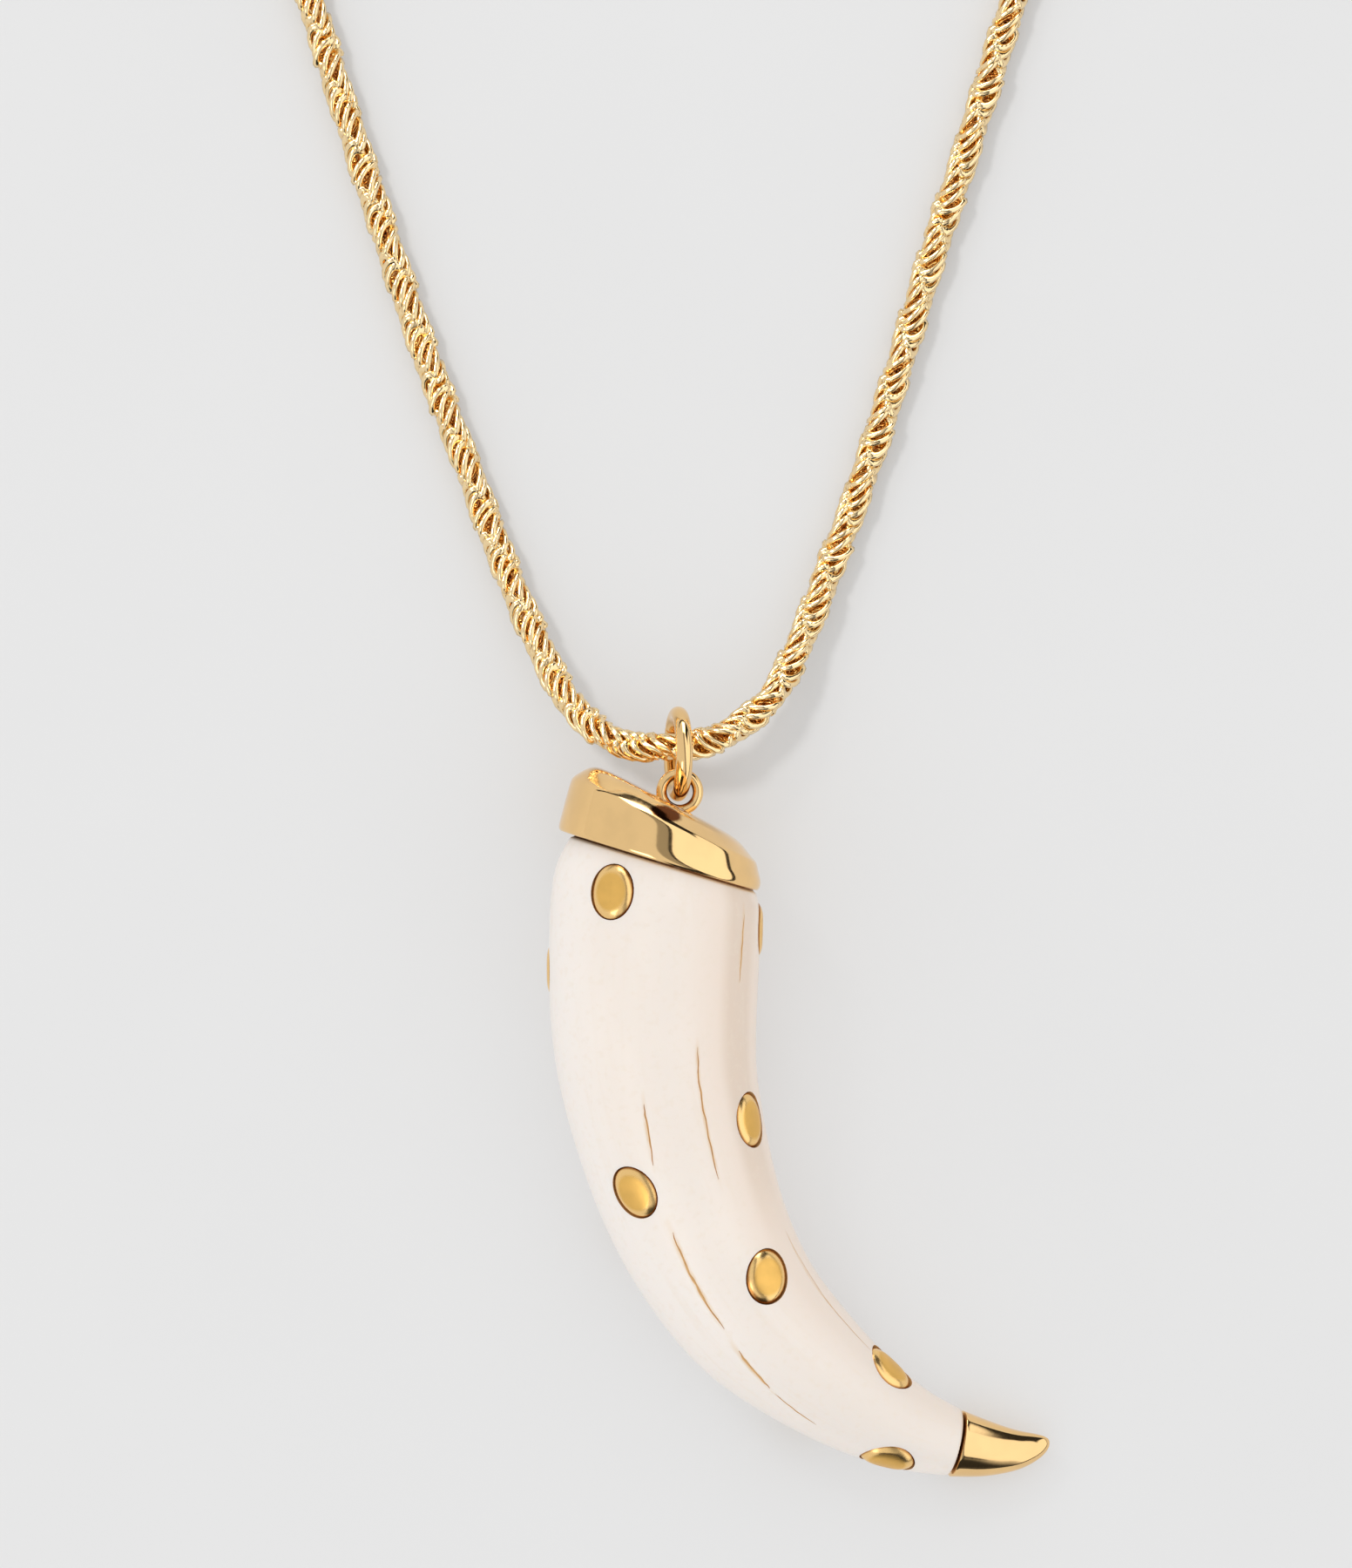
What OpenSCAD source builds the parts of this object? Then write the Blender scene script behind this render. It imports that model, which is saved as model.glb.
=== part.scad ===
// Horn pendant necklace, lying flat with +Z up and its lowest point at Z = 0.
// A curved ivory-coloured horn has inlaid studs, a slanted metal cap with a soldered eye and
// a metal tip. A jump ring hangs it on a rope chain, which closes in a plain barrel clasp.
// The pendant points towards -Y, and the origin lies under the middle of the necklace.

/* [Chain] */
// Outer diameter of the rope chain
chain_d = 3; // [2.8:0.1:3.2]

/* [Clasp] */
// Length of the barrel clasp
clasp_l = 14; // [13:1:18]
// Outer diameter of the barrel clasp
clasp_d = 5; // [4.8:0.1:5]
// Depth of the hole that holds each end of the chain
clasp_hole = 4; // [4:0.1:4.2]

/* [Jump ring] */
// Outer diameter of the jump ring
ring_d = 9.3; // [9.2:0.1:9.5]
// Diameter of the jump ring's wire
ring_wire = 1.6; // [1.2:0.1:1.6]
// Lean of the jump ring away from upright
ring_lean = 9; // [8:1:15]

/* [Cap] */
// Thickness of the metal of the cap and of the tip
metal_t = 0.9; // [0.7:0.1:0.9]
// Outer diameter of the soldered eye
eye_d = 4.6; // [4.5:0.1:4.8]
// Diameter of the eye's wire
eye_wire = 0.95; // [0.7:0.05:1]

/* [Horn] */
// Thickness of the horn from front to back, as a part of its width
horn_depth = 0.87; // [0.84:0.01:0.87]
// Length of the horn's peg inside the tip
peg_l = 2.6; // [2:0.1:2.8]

/* [Studs] */
// Width of a stud
stud_w = 4.3; // [4:0.1:4.6]
// Length of a stud
stud_l = 5.4; // [4.6:0.1:5.4]
// Depth of a stud below the horn's surface
stud_in = 1; // [0.9:0.05:1.1]
// Height of a stud above the horn's surface
stud_out = 0.25; // [0.1:0.05:0.25]

/* [Hidden] */
gold = [0.86, 0.67, 0.38];
gold_dark = [0.78, 0.58, 0.25];
ivory = [0.96, 0.93, 0.88];
// Space between two pieces that fit into each other
fit = 0.1;
$fn = 64;

// Place where the chain passes through the jump ring, which the pendant's sizes start from
hang = [2, -88.5, 0];
ring_at = hang + [-0.55, -1.05, 7.6];
eye_at = hang + [-0.4, -4.75, 9];

// Centre line of the chain from one end to the other: x, y, z
chain_route = [
    [3.2, 158, 2.5], [9, 158, 2.5], [18, 157.6, 1.8], [30, 154.9, 1.5], [42.5, 149.5, 1.5],
    [54, 141.5, 1.5], [63, 131, 1.5], [69, 118, 1.5], [71, 104, 1.5], [69.5, 90, 1.5],
    [66, 76, 1.5], [61.4, 62, 1.5], [56.2, 48, 1.5], [51, 34, 1.5], [46, 20, 1.5],
    [41, 6, 1.5], [36.7, -8, 1.5], [32.7, -21, 1.5], [29.1, -32.5, 1.5], [26, -42, 1.5],
    [23, -52, 1.5], [19.8, -62, 1.5], [16.5, -71, 2], [13.7, -78, 3.1], [11, -83.4, 4.6],
    [7.5, -86.8, 5.9], [3.5, -88.6, 6.8], [0, -88.9, 6.9], [-3.5, -88.7, 6.5],
    [-7, -86.8, 5.5], [-9.8, -83.6, 4.3], [-12.6, -78, 2.9], [-15.6, -71, 1.9],
    [-19, -62, 1.5], [-22.8, -52, 1.5], [-26.2, -42, 1.5], [-29.3, -32.5, 1.5],
    [-33, -21, 1.5], [-36.9, -8, 1.5], [-41, 6, 1.5], [-46, 20, 1.5], [-51, 34, 1.5],
    [-56.2, 48, 1.5], [-61.4, 62, 1.5], [-66, 76, 1.5], [-69.5, 90, 1.5], [-71, 104, 1.5],
    [-69, 118, 1.5], [-63, 131, 1.5], [-54, 141.5, 1.5], [-42.5, 149.5, 1.5],
    [-30, 154.9, 1.5], [-18, 157.6, 1.8], [-9, 158, 2.5], [-3.2, 158, 2.5]];

// Sections of the horn from the cap to the tip, measured from the place of the jump ring:
// x, y, height of the middle, half width, turn from straight down, dip towards the floor
horn_sections = [
    [-2, -11.85, 9, 9.45, -17, 0],
    [-2.6, -14.8, 9, 10.3, -12, 0],
    [-2.9, -20.5, 9, 10.3, -5, 1],
    [-2.9, -28, 8.9, 10, 2, 2],
    [-2.1, -34.5, 8.6, 9.5, 12, 3],
    [0.2, -43, 8.2, 8.9, 23, 4],
    [3.2, -50, 7.6, 8.2, 34, 6],
    [7.3, -56.2, 6.9, 7.4, 45, 8],
    [12.5, -61, 6, 6.3, 53, 9],
    [17.7, -64.8, 5, 5.15, 60, 10],
    [22.5, -67.35, 4, 4.1, 68, 11],
    [26.7, -68.7, 3.1, 3.3, 78, 12]];
// Sections of the tip, in the same columns
tip_sections = [
    [26.8, -68.75, 3.08, 3.3, 78, 12],
    [29.3, -69.2, 2.65, 2.85, 86, 8],
    [31.5, -69.4, 2.4, 2.3, 92, 5],
    [33.2, -69.35, 2.3, 1.85, 99, 2],
    [34.75, -69, 2.25, 1.25, 108, 0],
    [35.6, -68.65, 2.25, 0.65, 115, 0],
    [35.9, -68.5, 2.25, 0.15, 115, 0]];
// Rings of the cap's outside from its rim up, measured from the middle of the rim and along
// the rim: sideways shift, height, half width, slant of the ring
cap_rings = [
    [0, 0, 9.75, 0],
    [0, 0.35, 10.1, 0],
    [-0.05, 0.9, 10.25, 0],
    [-0.35, 2.2, 10.15, 4],
    [-0.6, 3.7, 9.9, 7],
    [-0.66, 4.15, 9.7, 8],
    [-0.75, 4.9, 8.95, 9.5],
    [-0.8, 5.5, 8, 10.5],
    [-0.8, 5.75, 7, 10.5],
    [-0.8, 5.85, 4, 10.5]];
// Studs: place along the horn in sections, angle round it from the front, turn of the oval
studs = [
    [1.1, -25.5, 4],
    [4.8, -33.5, 15],
    [4.5, 60, -10],
    [6.5, 25, -38],
    [9, 66, 0],
    [9.7, -60, 15],
    [1.35, 92, 0],
    [2.3, -98, 0],
    [3.2, 150, 0],
    [5.3, -140, 0],
    [7.2, 160, 0],
    [8.4, -125, 0]];

// Middle and slant of the cap's rim
cap_at = hang + [-2.5, -11.5, 9];
cap_turn = -17;
// Points round each section, and sections along each piece
sides = 32;
chain_rings = 78;
horn_rings = 45;
tip_rings = 19;

// Row i of a table, with its end rows repeated beyond the ends
function row(table, i) = table[max(0, min(len(table) - 1, i))];

// Values on the smooth curve through a table's rows, at any place between them
function between(table, place) =
    let (i = floor(place), u = place - i)
    let (a = row(table, i - 1), b = row(table, i), c = row(table, i + 1), d = row(table, i + 2))
    b + u * (c - a) / 2 + u * u * (a - 2.5 * b + 2 * c - d / 2)
    + u * u * u * (1.5 * (b - c) + (d - a) / 2);

// As many rows as asked, evenly placed along the smooth curve through a table's rows
function filled(table, count) =
    [for (k = [0 : count - 1]) between(table, k * (len(table) - 1) / (count - 1))];

// Directions of a section: across it, towards the front, and along the piece
function across(turn) = [cos(turn), sin(turn), 0];
function front(turn, dip) = [sin(turn) * sin(dip), -cos(turn) * sin(dip), cos(dip)];
function along(turn, dip) = [sin(turn) * cos(dip), -cos(turn) * cos(dip), -sin(dip)];

// Oval ring of points round the middle of a section
function oval(middle, w, h, turn, dip) =
    [for (k = [0 : sides - 1]) let (t = 360 * k / sides)
        middle + w * sin(t) * across(turn) + h * cos(t) * front(turn, dip)];

// Ring of a horn or tip section, made smaller by an inset and moved along the piece
function section_ring(s, inset = 0, shift = 0) =
    oval(hang + [s[0], s[1], s[2]] + shift * along(s[4], s[5]),
        s[3] - inset, s[3] * horn_depth - inset, s[4], s[5]);

// Ring of the cap, made smaller by an inset and lowered
function cap_ring(r, inset = 0, down = 0) =
    let (up = -along(cap_turn, 0))
    oval(cap_at + r[0] * across(cap_turn) + (r[1] - down) * up,
        r[2] - inset, r[2] * horn_depth - inset, cap_turn - r[3], 0);

// Solid over a list of rings with the same number of points
module skin(rings) {
    n = len(rings);
    m = len(rings[0]);
    polyhedron(
        points = [for (ring = rings, p = ring) p],
        faces = concat(
            [[for (j = [0 : m - 1]) m - 1 - j]],
            [for (i = [0 : n - 2], j = [0 : m - 1]) let (k = (j + 1) % m)
                each [[i * m + j, i * m + k, (i + 1) * m + k],
                    [i * m + j, (i + 1) * m + k, (i + 1) * m + j]]],
            [[for (j = [0 : m - 1]) (n - 1) * m + j]]),
        convexity = 10);
}

// Rope chain, as one tube of the rope's outer size
module chain() {
    route = [for (p = filled(chain_route, chain_rings))
        [p[0], p[1], max(p[2], chain_d / 2)]];
    color(gold)
    skin([for (i = [0 : len(route) - 1])
        let (step = row(route, i + 1) - row(route, i - 1))
        let (ahead = step / norm(step))
        let (sideways = cross(ahead, [0, 0, 1]))
        let (side = sideways / norm(sideways), up = cross(side, ahead))
        [for (k = [0 : 7]) route[i] + chain_d / 2 * (sin(45 * k) * side - cos(45 * k) * up)]]);
}

// Barrel clasp with a blind hole in each end
module clasp() {
    edge = 0.5;
    color(gold)
    translate([0, chain_route[0][1], clasp_d / 2])
    rotate([0, 90, 0])
    difference() {
        rotate_extrude()
        polygon([[0, -clasp_l / 2], [clasp_d / 2 - edge, -clasp_l / 2],
            [clasp_d / 2, -clasp_l / 2 + edge], [clasp_d / 2, clasp_l / 2 - edge],
            [clasp_d / 2 - edge, clasp_l / 2], [0, clasp_l / 2]]);
        for (end = [-1, 1])
            translate([0, 0, end * clasp_l / 2])
            cylinder(h = 2 * clasp_hole, d = chain_d + 2 * fit, center = true);
    }
}

// Closed ring of round wire
module wire_ring(outer, wire) {
    rotate_extrude()
    translate([(outer - wire) / 2, 0])
    circle(d = wire, $fn = 24);
}

// Jump ring that holds the pendant on the chain
module jump_ring() {
    color(gold)
    translate(ring_at)
    rotate([0, 90 + ring_lean, 0])
    wire_ring(ring_d, ring_wire);
}

// Hollow cap over the top of the horn, with the soldered eye
module cap() {
    color(gold)
    union() {
        skin(concat(
            [for (i = [len(cap_rings) - 1 : -1 : 0]) cap_ring(cap_rings[i])],
            [for (i = [2, 3, 4, 6]) cap_ring(cap_rings[i], metal_t, metal_t)]));
        translate(eye_at)
        wire_ring(eye_d, eye_wire);
    }
}

// Outside of the horn with its pegs for the cap and the tip
module horn_body() {
    last = horn_sections[len(horn_sections) - 1];
    peg = metal_t + fit;
    skin(concat(
        [for (i = [4, 3, 2]) cap_ring(cap_rings[i], peg, metal_t)],
        [for (s = filled(horn_sections, horn_rings)) section_ring(s)],
        [section_ring(last, peg, 0),
            section_ring(last, peg + 0.3, peg_l - 0.3),
            section_ring(last, peg + 0.7, peg_l)]));
}

// Point on the horn's surface at a place along it and an angle round it
function on_surface(place, angle) =
    let (s = between(horn_sections, place))
    hang + [s[0], s[1], s[2]] + s[3] * sin(angle) * across(s[4])
    + s[3] * horn_depth * cos(angle) * front(s[4], s[5]);

// Puts its children on the horn's surface at a stud's place: Z points out of the surface and
// Y along the horn
module on_horn(place, angle) {
    forward = on_surface(place + 0.05, angle) - on_surface(place - 0.05, angle);
    around = on_surface(place, angle + 1) - on_surface(place, angle - 1);
    ahead = forward / norm(forward);
    slope = cross(ahead, around);
    out = slope / norm(slope);
    right = cross(ahead, out);
    at = on_surface(place, angle);
    multmatrix([
        [right[0], ahead[0], out[0], at[0]],
        [right[1], ahead[1], out[1], at[1]],
        [right[2], ahead[2], out[2], at[2]]])
    children();
}

// Oval block of a stud, with room round it
module stud_block(turn, room, top) {
    rotate(turn)
    translate([0, 0, -stud_in - room])
    linear_extrude(top + stud_in + room)
    polygon([for (k = [0 : 31]) let (t = 360 * k / 32)
        [(stud_w / 2 + room) * cos(t), (stud_l / 2 + room) * sin(t)]]);
}

// Inlaid stud with a face that follows the horn's round surface
module stud(i) {
    s = between(horn_sections, studs[i][0]);
    angle = studs[i][1];
    w = s[3];
    h = s[3] * horn_depth;
    bend = pow(pow(w * cos(angle), 2) + pow(h * sin(angle), 2), 1.5) / (w * h);
    color(gold_dark)
    on_horn(studs[i][0], angle)
    intersection() {
        stud_block(studs[i][2], 0, 2);
        translate([0, 0, -bend])
        rotate([90, 0, 0])
        cylinder(h = 2 * stud_l, r = bend + stud_out, center = true);
    }
}

// Horn with a recess for each stud
module horn() {
    color(ivory)
    difference() {
        horn_body();
        for (s = studs)
            on_horn(s[0], s[1])
            stud_block(s[2], fit / 2, 2);
    }
}

// Hollow metal tip over the end of the horn
module tip_cap() {
    first = tip_sections[0];
    color(gold)
    skin(concat(
        [section_ring(first, metal_t + 0.6, peg_l + 0.2),
            section_ring(first, metal_t + 0.2, peg_l - 0.1),
            section_ring(first, metal_t, 0)],
        [for (s = filled(tip_sections, tip_rings)) section_ring(s)]));
}

chain();
clasp();
jump_ring();
cap();
horn();
tip_cap();
for (i = [0 : len(studs) - 1])
    stud(i);
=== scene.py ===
import math
import random

import bpy
from mathutils import Matrix, Vector


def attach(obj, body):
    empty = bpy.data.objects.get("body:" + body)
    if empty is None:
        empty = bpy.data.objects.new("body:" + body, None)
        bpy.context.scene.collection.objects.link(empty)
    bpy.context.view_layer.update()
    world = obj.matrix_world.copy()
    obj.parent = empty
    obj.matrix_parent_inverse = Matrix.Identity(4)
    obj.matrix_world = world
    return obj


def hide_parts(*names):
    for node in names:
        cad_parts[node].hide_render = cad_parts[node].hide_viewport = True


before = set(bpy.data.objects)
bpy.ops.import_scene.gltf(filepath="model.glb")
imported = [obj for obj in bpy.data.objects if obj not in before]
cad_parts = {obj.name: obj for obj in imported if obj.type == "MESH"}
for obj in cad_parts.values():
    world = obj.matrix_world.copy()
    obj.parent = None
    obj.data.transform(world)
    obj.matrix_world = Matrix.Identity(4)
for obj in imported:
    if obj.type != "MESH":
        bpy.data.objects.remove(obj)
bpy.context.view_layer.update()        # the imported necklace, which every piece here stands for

mm = 0.001
hang = Vector((2, -88.5, 0))        # where the chain passes through the ring, in mm
random.seed(11)


# Shader maths: a Signal is a socket that can be used in a Python expression
class Signal:
    def __init__(self, paint, socket):
        self.paint = paint
        self.socket = socket

    def maths(self, operation, *values):
        made = self.paint.node("ShaderNodeMath", {"operation": operation}, dict(enumerate(values)))
        return Signal(self.paint, made.outputs[0])

    def __add__(self, other):
        return self.maths("ADD", self, other)

    def __radd__(self, other):
        return self.maths("ADD", other, self)

    def __sub__(self, other):
        return self.maths("SUBTRACT", self, other)

    def __rsub__(self, other):
        return self.maths("SUBTRACT", other, self)

    def __mul__(self, other):
        return self.maths("MULTIPLY", self, other)

    def __rmul__(self, other):
        return self.maths("MULTIPLY", other, self)

    def __abs__(self):
        return self.maths("ABSOLUTE", self)

    def rise(self, low, high):        # 0 below low, 1 above high, smooth between
        made = self.paint.node("ShaderNodeMapRange", {"interpolation_type": "SMOOTHSTEP"},
                               {"Value": self, "From Min": low, "From Max": high})
        return Signal(self.paint, made.outputs["Result"])


class Paint:        # the nodes of one material or of the world
    def __init__(self, tree):
        self.tree = tree

    def node(self, kind, settings=None, inputs=None):
        made = self.tree.nodes.new(kind)
        for key, value in (settings or {}).items():
            setattr(made, key, value)
        for key, value in (inputs or {}).items():
            if isinstance(value, Signal):
                self.tree.links.new(value.socket, made.inputs[key])
            else:
                made.inputs[key].default_value = value
        return made

    def out(self, made, name):
        return Signal(self, made.outputs[name])

    def objectPlace(self):
        return self.out(self.node("ShaderNodeTexCoord"), "Object")

    def stretched(self, place, scale):
        made = self.node("ShaderNodeMapping", None, {"Vector": place, "Scale": scale})
        return self.out(made, "Vector")

    def fromSpot(self, place, centre, turn, sizes):        # 1 at the edge of a turned oval, sizes in mm
        made = self.node("ShaderNodeMapping", {"vector_type": "TEXTURE"}, {
            "Vector": place, "Location": [c * mm for c in centre],
            "Rotation": (0, 0, math.radians(turn)), "Scale": [s * mm for s in sizes]})
        made = self.node("ShaderNodeVectorMath", {"operation": "LENGTH"}, {0: self.out(made, "Vector")})
        return self.out(made, "Value")

    def noise(self, place, scale, detail=3.0):
        made = self.node("ShaderNodeTexNoise", None, {
            "Vector": place, "Scale": scale, "Detail": detail})
        return self.out(made, "Fac")

    def mixed(self, share, first, second):
        first = first if isinstance(first, Signal) else (*first, 1)
        second = second if isinstance(second, Signal) else (*second, 1)
        made = self.node("ShaderNodeMix", {"data_type": "RGBA"}, {0: share, 6: first, 7: second})
        return Signal(self, made.outputs[2])

    def bump(self, height, strength, distance):
        made = self.node("ShaderNodeBump", None, {
            "Height": height, "Strength": strength, "Distance": distance})
        return self.out(made, "Normal")


class Finish(Paint):        # one material
    def __init__(self, name, **fixed):
        self.material = bpy.data.materials.new(name)
        self.material.use_nodes = True
        super().__init__(self.material.node_tree)
        self.shader = self.tree.nodes["Principled BSDF"]
        for key, value in fixed.items():
            self.shader.inputs[key.replace("_", " ")].default_value = value

    def feed(self, **inputs):
        for key, value in inputs.items():
            self.tree.links.new(value.socket, self.shader.inputs[key.replace("_", " ")])


# Finishes
goldLook = {
    "chain": (0.98, 0.75, 0.42), "deep": (0.9, 0.57, 0.19),        # outer parts of the rope, and its inner parts, darker as painted shade
    "hollow": (0.45, 0.2, 0.055),       # painted shade in the rope's middle and on one side of each stud's rim
    "polished": (0.95, 0.635, 0.29), "paintedShade": (0.16, 0.05, 0.015),
    "satin": (0.9, 0.54, 0.145), "edge": (0.97, 0.64, 0.26),       # a stud's face and its rounded edge
    "chainDull": 0.07, "polishedDull": 0.06, "scratch": 0.05,
}

# Cracks: half width in mm, then place along the horn and angle round it at each point
cracks = [
    (0.1, (3.2, 24.5), (3.95, 23.5), (4.5, 22.5), (5, 21.5)),
    (0.1, (3.95, -11), (4.2, -12.2), (4.6, -15)),
    (0.16, (5.35, -19), (5.8, -21.2), (6.2, -22.8), (6.65, -23.7)),
    (0.16, (6.97, -27.5), (7.28, -31.3), (7.6, -36)),
    (0.06, (7.7, -38.4), (8, -41.5), (8.42, -44.8)),
    (0.1, (1, 57), (1.75, 56), (2.3, 54.6)),
    (0.05, (6.2, 62), (6.9, 64), (7.5, 61), (8.5, 59)),
]

# Painted shade and dark reflection on the cap, at the foot of its eye and inside it: middle, turn,
# sizes in mm
paintedShadeSpots = [((0.3, -95.35, 16), -17, (1.75, 0.8, 4)), ((1.6, -93.25, 9), 0, (1.6, 1.6, 3))]


def polishedGold(name, spots=()):
    gold = Finish(name, Metallic=1.0)
    place = gold.objectPlace()
    base = goldLook["polished"]
    cloud = gold.noise(place, 260)
    fine = gold.noise(place, 2600, 2.0)
    colour = gold.mixed(cloud.rise(0.35, 0.7), base, [c * 0.93 for c in base])
    for centre, turn, sizes in spots:
        # painted shade and dark reflection in each spot, with a ragged edge
        away = gold.fromSpot(place, centre, turn, sizes) + 0.5 * (gold.noise(place, 900) - 0.5)
        colour = gold.mixed(away.rise(1.05, 0.75), colour, goldLook["paintedShade"])
    gold.feed(
        Base_Color=colour,
        Roughness=goldLook["polishedDull"] + 0.05 * fine,
        Normal=gold.bump(fine, goldLook["scratch"], 0.02 * mm))
    return gold.material


def ropeGold(name):        # painted shade: darker towards the middle of the rope
    gold = Finish(name, Metallic=1.0)
    base = goldLook["chain"]
    made = gold.node("ShaderNodeAttribute", {"attribute_name": "fromMiddle"})
    out = gold.out(made, "Fac")
    inner = gold.mixed(out.rise(0.3, 0.7), goldLook["hollow"], goldLook["deep"])
    fine = gold.noise(gold.objectPlace(), 2200, 2.0)
    worn = gold.mixed(fine.rise(0.4, 0.7), base, [c * 0.92 for c in base])
    gold.feed(
        Base_Color=gold.mixed(out.rise(0.85, 1.25), inner, worn),
        Roughness=goldLook["chainDull"] + 0.06 * fine,
        Normal=gold.bump(fine, 0.15, 0.02 * mm))
    return gold.material


def satinGold(name):        # satin in the middle of a stud, polished at its edge
    gold = Finish(name, Metallic=1.0)
    base = goldLook["satin"]
    place = gold.objectPlace()
    grain = gold.noise(place, 2600, 3.0)
    cloud = gold.noise(place, 520, 2.0)
    made = gold.node("ShaderNodeAttribute", {"attribute_name": "fromCentre"})
    split = gold.node("ShaderNodeSeparateXYZ", None, {0: gold.out(made, "Vector")})
    edge = gold.out(split, "X")
    # painted shade: a dark crescent round the rim, wider on the side set in studPlaces
    shade = gold.out(split, "Y") + 0.06 * (cloud - 0.5)
    colour = gold.mixed(cloud.rise(0.3, 0.7), base, [c * 0.9 for c in base])
    colour = gold.mixed(edge.rise(0.62, 0.8), colour, goldLook["edge"])
    gold.feed(
        Base_Color=gold.mixed(shade.rise(0.92, 1.0), colour, goldLook["hollow"]),
        Roughness=0.32 + 0.1 * grain - 0.14 * edge.rise(0.6, 0.75),
        Normal=gold.bump(grain, 0.25, 0.03 * mm))
    return gold.material


ivoryTones = {
    "cream": (0.895, 0.81, 0.735), "lightCream": (0.925, 0.84, 0.765), "warm": (0.865, 0.725, 0.615),
    "pale": (0.925, 0.865, 0.815), "band": (0.74, 0.6, 0.48), "streak": (0.85, 0.74, 0.62),
    "stainAndGlow": (0.74, 0.5, 0.24), "joint": (0.26, 0.12, 0.05), "shade": (0.83, 0.755, 0.69),
}


def ivoryResin():
    ivory = Finish("ivoryResin", Subsurface_Weight=0.12, Subsurface_Scale=2 * mm, IOR=1.45)
    ivory.shader.inputs["Subsurface Radius"].default_value = (1.0, 0.7, 0.5)
    made = ivory.node("ShaderNodeAttribute", {"attribute_name": "hornPlace"})
    lay = ivory.out(made, "Vector")
    split = ivory.node("ShaderNodeSeparateXYZ", None, {0: lay})
    along = ivory.out(split, "X")
    side = ivory.out(split, "Y")
    front = ivory.out(split, "Z")
    streaks = ivory.noise(ivory.stretched(lay, (0.35, 6, 6)), 1.6, 4.0)
    cloud = ivory.noise(ivory.stretched(lay, (0.5, 1.2, 1.2)), 1.2, 2.0)
    colour = ivory.mixed(cloud.rise(0.3, 0.75), ivoryTones["cream"], ivoryTones["lightCream"])
    # painted shade: warmer and darker towards the right side
    colour = ivory.mixed(side.rise(0.1, 0.8) * 0.8, colour, ivoryTones["warm"])
    # painted light: paler on the left side, and over the left half towards the tip
    pale = side.rise(-0.4, -0.9) + side.rise(0.1, -0.6) * along.rise(4.0, 7.0)
    colour = ivory.mixed(pale.maths("MINIMUM", pale, 1) * 0.8, colour, ivoryTones["pale"])
    colour = ivory.mixed(along.rise(5.5, 9) * 0.5, colour, ivoryTones["shade"])
    # painted shade in a shallow crease along the right side, nearer the cap
    band = side.rise(0.6, 0.74) * side.rise(0.96, 0.88) * along.rise(6.5, 4.5)
    colour = ivory.mixed(band * 0.6, colour, ivoryTones["band"])
    colour = ivory.mixed(streaks.rise(0.52, 0.8) * 0.3, colour, ivoryTones["streak"])
    degrees = side.maths("ARCTAN2", side, front) * (180 / math.pi)
    patchy = ivory.noise(ivory.stretched(lay, (2.5, 1, 1)), 1.7, 2.0).rise(0.3, 0.6)
    for half, *points in cracks:        # a stain along each crack, in patches
        (start, first), (end, last) = points[0], points[-1]
        middle = (along - start) * ((last - first) / (end - start)) + first
        wide = 20 * half        # in degrees
        near = abs(degrees - middle).rise(wide, 0) * along.rise(start - 0.25, start + 0.3)
        near = near * along.rise(end + 0.2, end - 0.3)
        colour = ivory.mixed(near * (0.25 + 0.45 * patchy), colour, ivoryTones["stainAndGlow"])
    made = ivory.node("ShaderNodeAttribute", {"attribute_name": "toJoint"})
    toJoint = ivory.out(made, "Fac")
    # painted glow of the gold on the ivory beside the cap's rim and the tip, then a dark joint line
    colour = ivory.mixed(toJoint.rise(0.5, 0.1) * 0.6, colour, ivoryTones["stainAndGlow"])
    colour = ivory.mixed(toJoint.rise(0.16, 0.1), colour, ivoryTones["joint"])
    fine = ivory.noise(ivory.objectPlace(), 1400, 3.0)
    colour = ivory.mixed(fine.rise(0.5, 0.75) * 0.3, colour, ivoryTones["streak"])
    ivory.feed(
        Base_Color=colour,
        Roughness=0.26 + 0.1 * fine,
        Normal=ivory.bump(streaks + 0.1 * fine, 0.1, 0.1 * mm))
    return ivory.material


brownTones = {        # darkest and palest
    "crack": ((0.6, 0.33, 0.12), (0.85, 0.6, 0.32)),
    # painted shade on the walls and floor of the groove round each stud
    "recess": ((0.42, 0.2, 0.06), (0.66, 0.42, 0.18)),
}


def plainBrown(name, dark, pale):
    brown = Finish(name, Roughness=0.7)
    grain = brown.noise(brown.objectPlace(), 1500)
    brown.feed(Base_Color=brown.mixed(grain, dark, pale))
    return brown.material


floorGreys = {"colour": (0.395, 0.405), "glow": (0.26, 0.27)}        # darkest and palest


def paleFloor():
    pale = Finish("paleFloor", Roughness=0.8, Emission_Strength=1.0)
    grain = pale.noise(pale.objectPlace(), 30)
    colour, glow = [[(grey,) * 3 for grey in floorGreys[part]] for part in ("colour", "glow")]
    pale.feed(
        Base_Color=pale.mixed(grain, *colour),
        Emission_Color=pale.mixed(grain, *glow))
    return pale.material


chainGold = ropeGold("chainGold")
bodyGold = polishedGold("bodyGold")
capGold = polishedGold("capGold", paintedShadeSpots)
studGold = satinGold("studGold")
ivoryLook = ivoryResin()
crackLook = plainBrown("crackBrown", *brownTones["crack"])
recessShadeLook = plainBrown("recessShadeBrown", *brownTones["recess"])
floorLook = paleFloor()
print("finishes made")


# Tools for the pieces
def nothingSelected():
    if bpy.context.object and bpy.context.object.mode != "OBJECT":
        bpy.ops.object.mode_set(mode="OBJECT")
    bpy.ops.object.select_all(action="DESELECT")


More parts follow.
